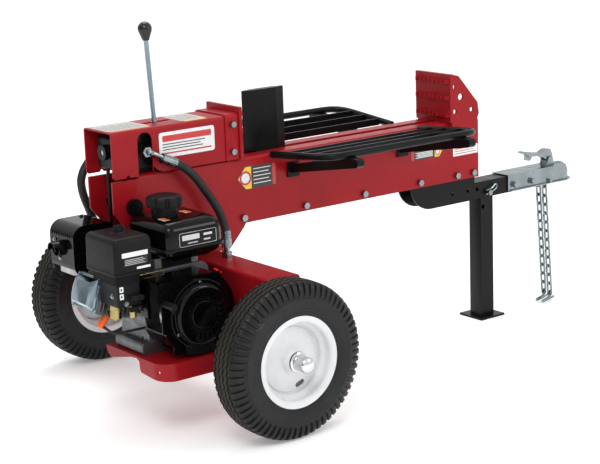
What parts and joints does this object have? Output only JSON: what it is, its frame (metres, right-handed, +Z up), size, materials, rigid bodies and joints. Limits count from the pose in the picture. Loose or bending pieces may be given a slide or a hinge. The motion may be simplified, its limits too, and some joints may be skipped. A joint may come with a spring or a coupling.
{
  "type": "log splitter",
  "caption": "Towable log splitter: horizontal beam, dual-action splitting wedge between toothed plates, log cradles, petrol engine, oil-tank axle, road wheels and ball hitch.",
  "frame": {"origin": "on the ground, halfway along the machine's length and on the beam's centre line", "axes": "+X along the beam from the engine to the hitch, +Y towards the far wheel, +Z up"},
  "size_m": [1.8564, 1.0936, 1.0171],
  "materials": {
    "red_paint": "semi-gloss powder coat",
    "black_paint": "satin powder coat",
    "zinc_plate": "bright zinc plate",
    "machined_steel": "machined",
    "tyre_rubber": "matt",
    "rim_paint": "gloss white",
    "chrome_plate": "polished",
    "hose_rubber": "satin",
    "engine_black": "gloss",
    "black_plastic": "fine texture",
    "knob_plastic": "gloss",
    "cast_alloy": "as cast",
    "plug_rubber": "satin",
    "switch_red": "gloss"
  },
  "bodies": {
    "machine": {"beam_near": "red_paint", "beam_far": "red_paint", "frame_bolts": "zinc_plate", "fixed_plate": "red_paint", "rear_plate": "red_paint", "valve_housing": "red_paint", "pedestal": "red_paint", "oil_tank": "red_paint", "tank_breather": "black_plastic", "axle": "machined_steel", "engine_tray": "red_paint", "tow_bar": "black_paint", "coupler_body": "zinc_plate", "cylinder_barrel": "black_paint", "cylinder_gland": "machined_steel", "cylinder_pin": "black_paint", "valve_body": "black_paint", "hydraulic_fittings": "zinc_plate", "return_hose": "hose_rubber", "pressure_hose": "hose_rubber", "suction_hose": "hose_rubber", "cradle_near": "black_paint", "cradle_far": "black_paint", "hitch_pin": "zinc_plate", "crankcase": "cast_alloy", "cylinder_head": "cast_alloy", "valve_cover": "zinc_plate", "fan_shroud": "engine_black", "recoil_cover": "engine_black", "fuel_tank": "engine_black", "air_cleaner": "black_plastic", "air_cleaner_cover": "black_plastic", "carburettor": "cast_alloy", "muffler": "machined_steel", "muffler_guard": "engine_black", "hydraulic_pump": "cast_alloy", "bell_housing": "cast_alloy", "spark_plug": "plug_rubber"},
    "wheel_near": {"tyre_near": "tyre_rubber", "rim_near": "rim_paint", "hub_near": "chrome_plate"},
    "wheel_far": {"tyre_far": "tyre_rubber", "rim_far": "rim_paint", "hub_far": "chrome_plate"},
    "ram": {"wedge": "black_paint", "piston_rod": "machined_steel"},
    "lever": {"lever_rod": "zinc_plate", "lever_knob": "knob_plastic"},
    "spool": {"valve_spool": "machined_steel"},
    "leg": {"jack_leg": "black_paint"},
    "latch": {"latch_lever": "zinc_plate"},
    "clamp": {"ball_clamp": "zinc_plate"},
    "chain_left": {"chain_near": "zinc_plate"},
    "chain_right": {"chain_far": "zinc_plate"},
    "crank": {"crankshaft": "machined_steel"},
    "grip": {"starter_grip": "black_plastic"},
    "tank_cap": {"fuel_cap": "black_plastic"},
    "choke": {"choke_lever": "black_plastic"},
    "fuel_valve": {"fuel_lever": "black_plastic"},
    "switch": {"engine_switch": "switch_red"}
  },
  "joints": [
    {"name": "wheel_near_spin", "type": "hinge", "parent": "machine", "child": "wheel_near", "pos_m": [-0.54083, -0.4558, 0.203], "axis": [0, 1, 0], "continuous": true},
    {"name": "wheel_far_spin", "type": "hinge", "parent": "machine", "child": "wheel_far", "pos_m": [-0.54083, 0.4558, 0.203], "axis": [0, 1, 0], "continuous": true},
    {"name": "ram_slide", "type": "slide", "parent": "machine", "child": "ram", "axis": [1, 0, 0], "range_m": [0, 0.52]},
    {"name": "lever_tilt", "type": "hinge", "parent": "machine", "child": "lever", "pos_m": [-0.60383, 0, 0.712], "axis": [0, 1, 0], "range_deg": [-14, 14], "stiffness_Nm_per_rad": 6},
    {"name": "spool_slide", "type": "slide", "parent": "machine", "child": "spool", "axis": [1, 0, 0], "range_m": [-0.0045, 0.0045]},
    {"name": "leg_fold", "type": "hinge", "parent": "machine", "child": "leg", "pos_m": [0.55417, 0, 0.393], "axis": [0, 1, 0], "range_deg": [0, 90]},
    {"name": "latch_lift", "type": "hinge", "parent": "machine", "child": "latch", "pos_m": [0.84017, 0, 0.453], "axis": [0, 1, 0], "range_deg": [0, 75]},
    {"name": "clamp_slide", "type": "slide", "parent": "machine", "child": "clamp", "axis": [1, 0, 0], "range_m": [-0.0062, 0]},
    {"name": "chain_near_swing", "type": "hinge", "parent": "machine", "child": "chain_left", "pos_m": [0.81317, -0.013, 0.392], "axis": [0, 1, 0], "range_deg": [-25, 25]},
    {"name": "chain_far_swing", "type": "hinge", "parent": "machine", "child": "chain_right", "pos_m": [0.81317, 0.013, 0.392], "axis": [0, 1, 0], "range_deg": [-25, 25]},
    {"name": "crank_spin", "type": "hinge", "parent": "machine", "child": "crank", "pos_m": [-0.68783, -0.2, 0.316], "axis": [0, 1, 0], "continuous": true},
    {"name": "grip_pull", "type": "slide", "parent": "machine", "child": "grip", "axis": [-0.6428, 0, 0.766], "range_m": [0, 0.03], "stiffness_N_per_m": 30},
    {"name": "cap_turn", "type": "hinge", "parent": "machine", "child": "tank_cap", "pos_m": [-0.69283, -0.164, 0.57], "axis": [0, 0, 1], "range_deg": [0, 90]},
    {"name": "choke_turn", "type": "hinge", "parent": "machine", "child": "choke", "pos_m": [-0.83383, -0.259, 0.379], "axis": [0, 1, 0], "range_deg": [-20, 35]},
    {"name": "fuel_valve_turn", "type": "hinge", "parent": "machine", "child": "fuel_valve", "pos_m": [-0.83383, -0.243, 0.348], "axis": [0, 1, 0], "range_deg": [-60, 0]},
    {"name": "switch_rock", "type": "hinge", "parent": "machine", "child": "switch", "pos_m": [-0.61772, -0.277, 0.40904], "axis": [0, 1, 0], "range_deg": [-8, 8]}
  ],
  "couplings": [
    {"joint": "spool_slide", "follows": "lever_tilt", "m_per_rad": -0.016},
    {"joint": "clamp_slide", "follows": "latch_lift", "m_per_rad": -0.00458}
  ]
}
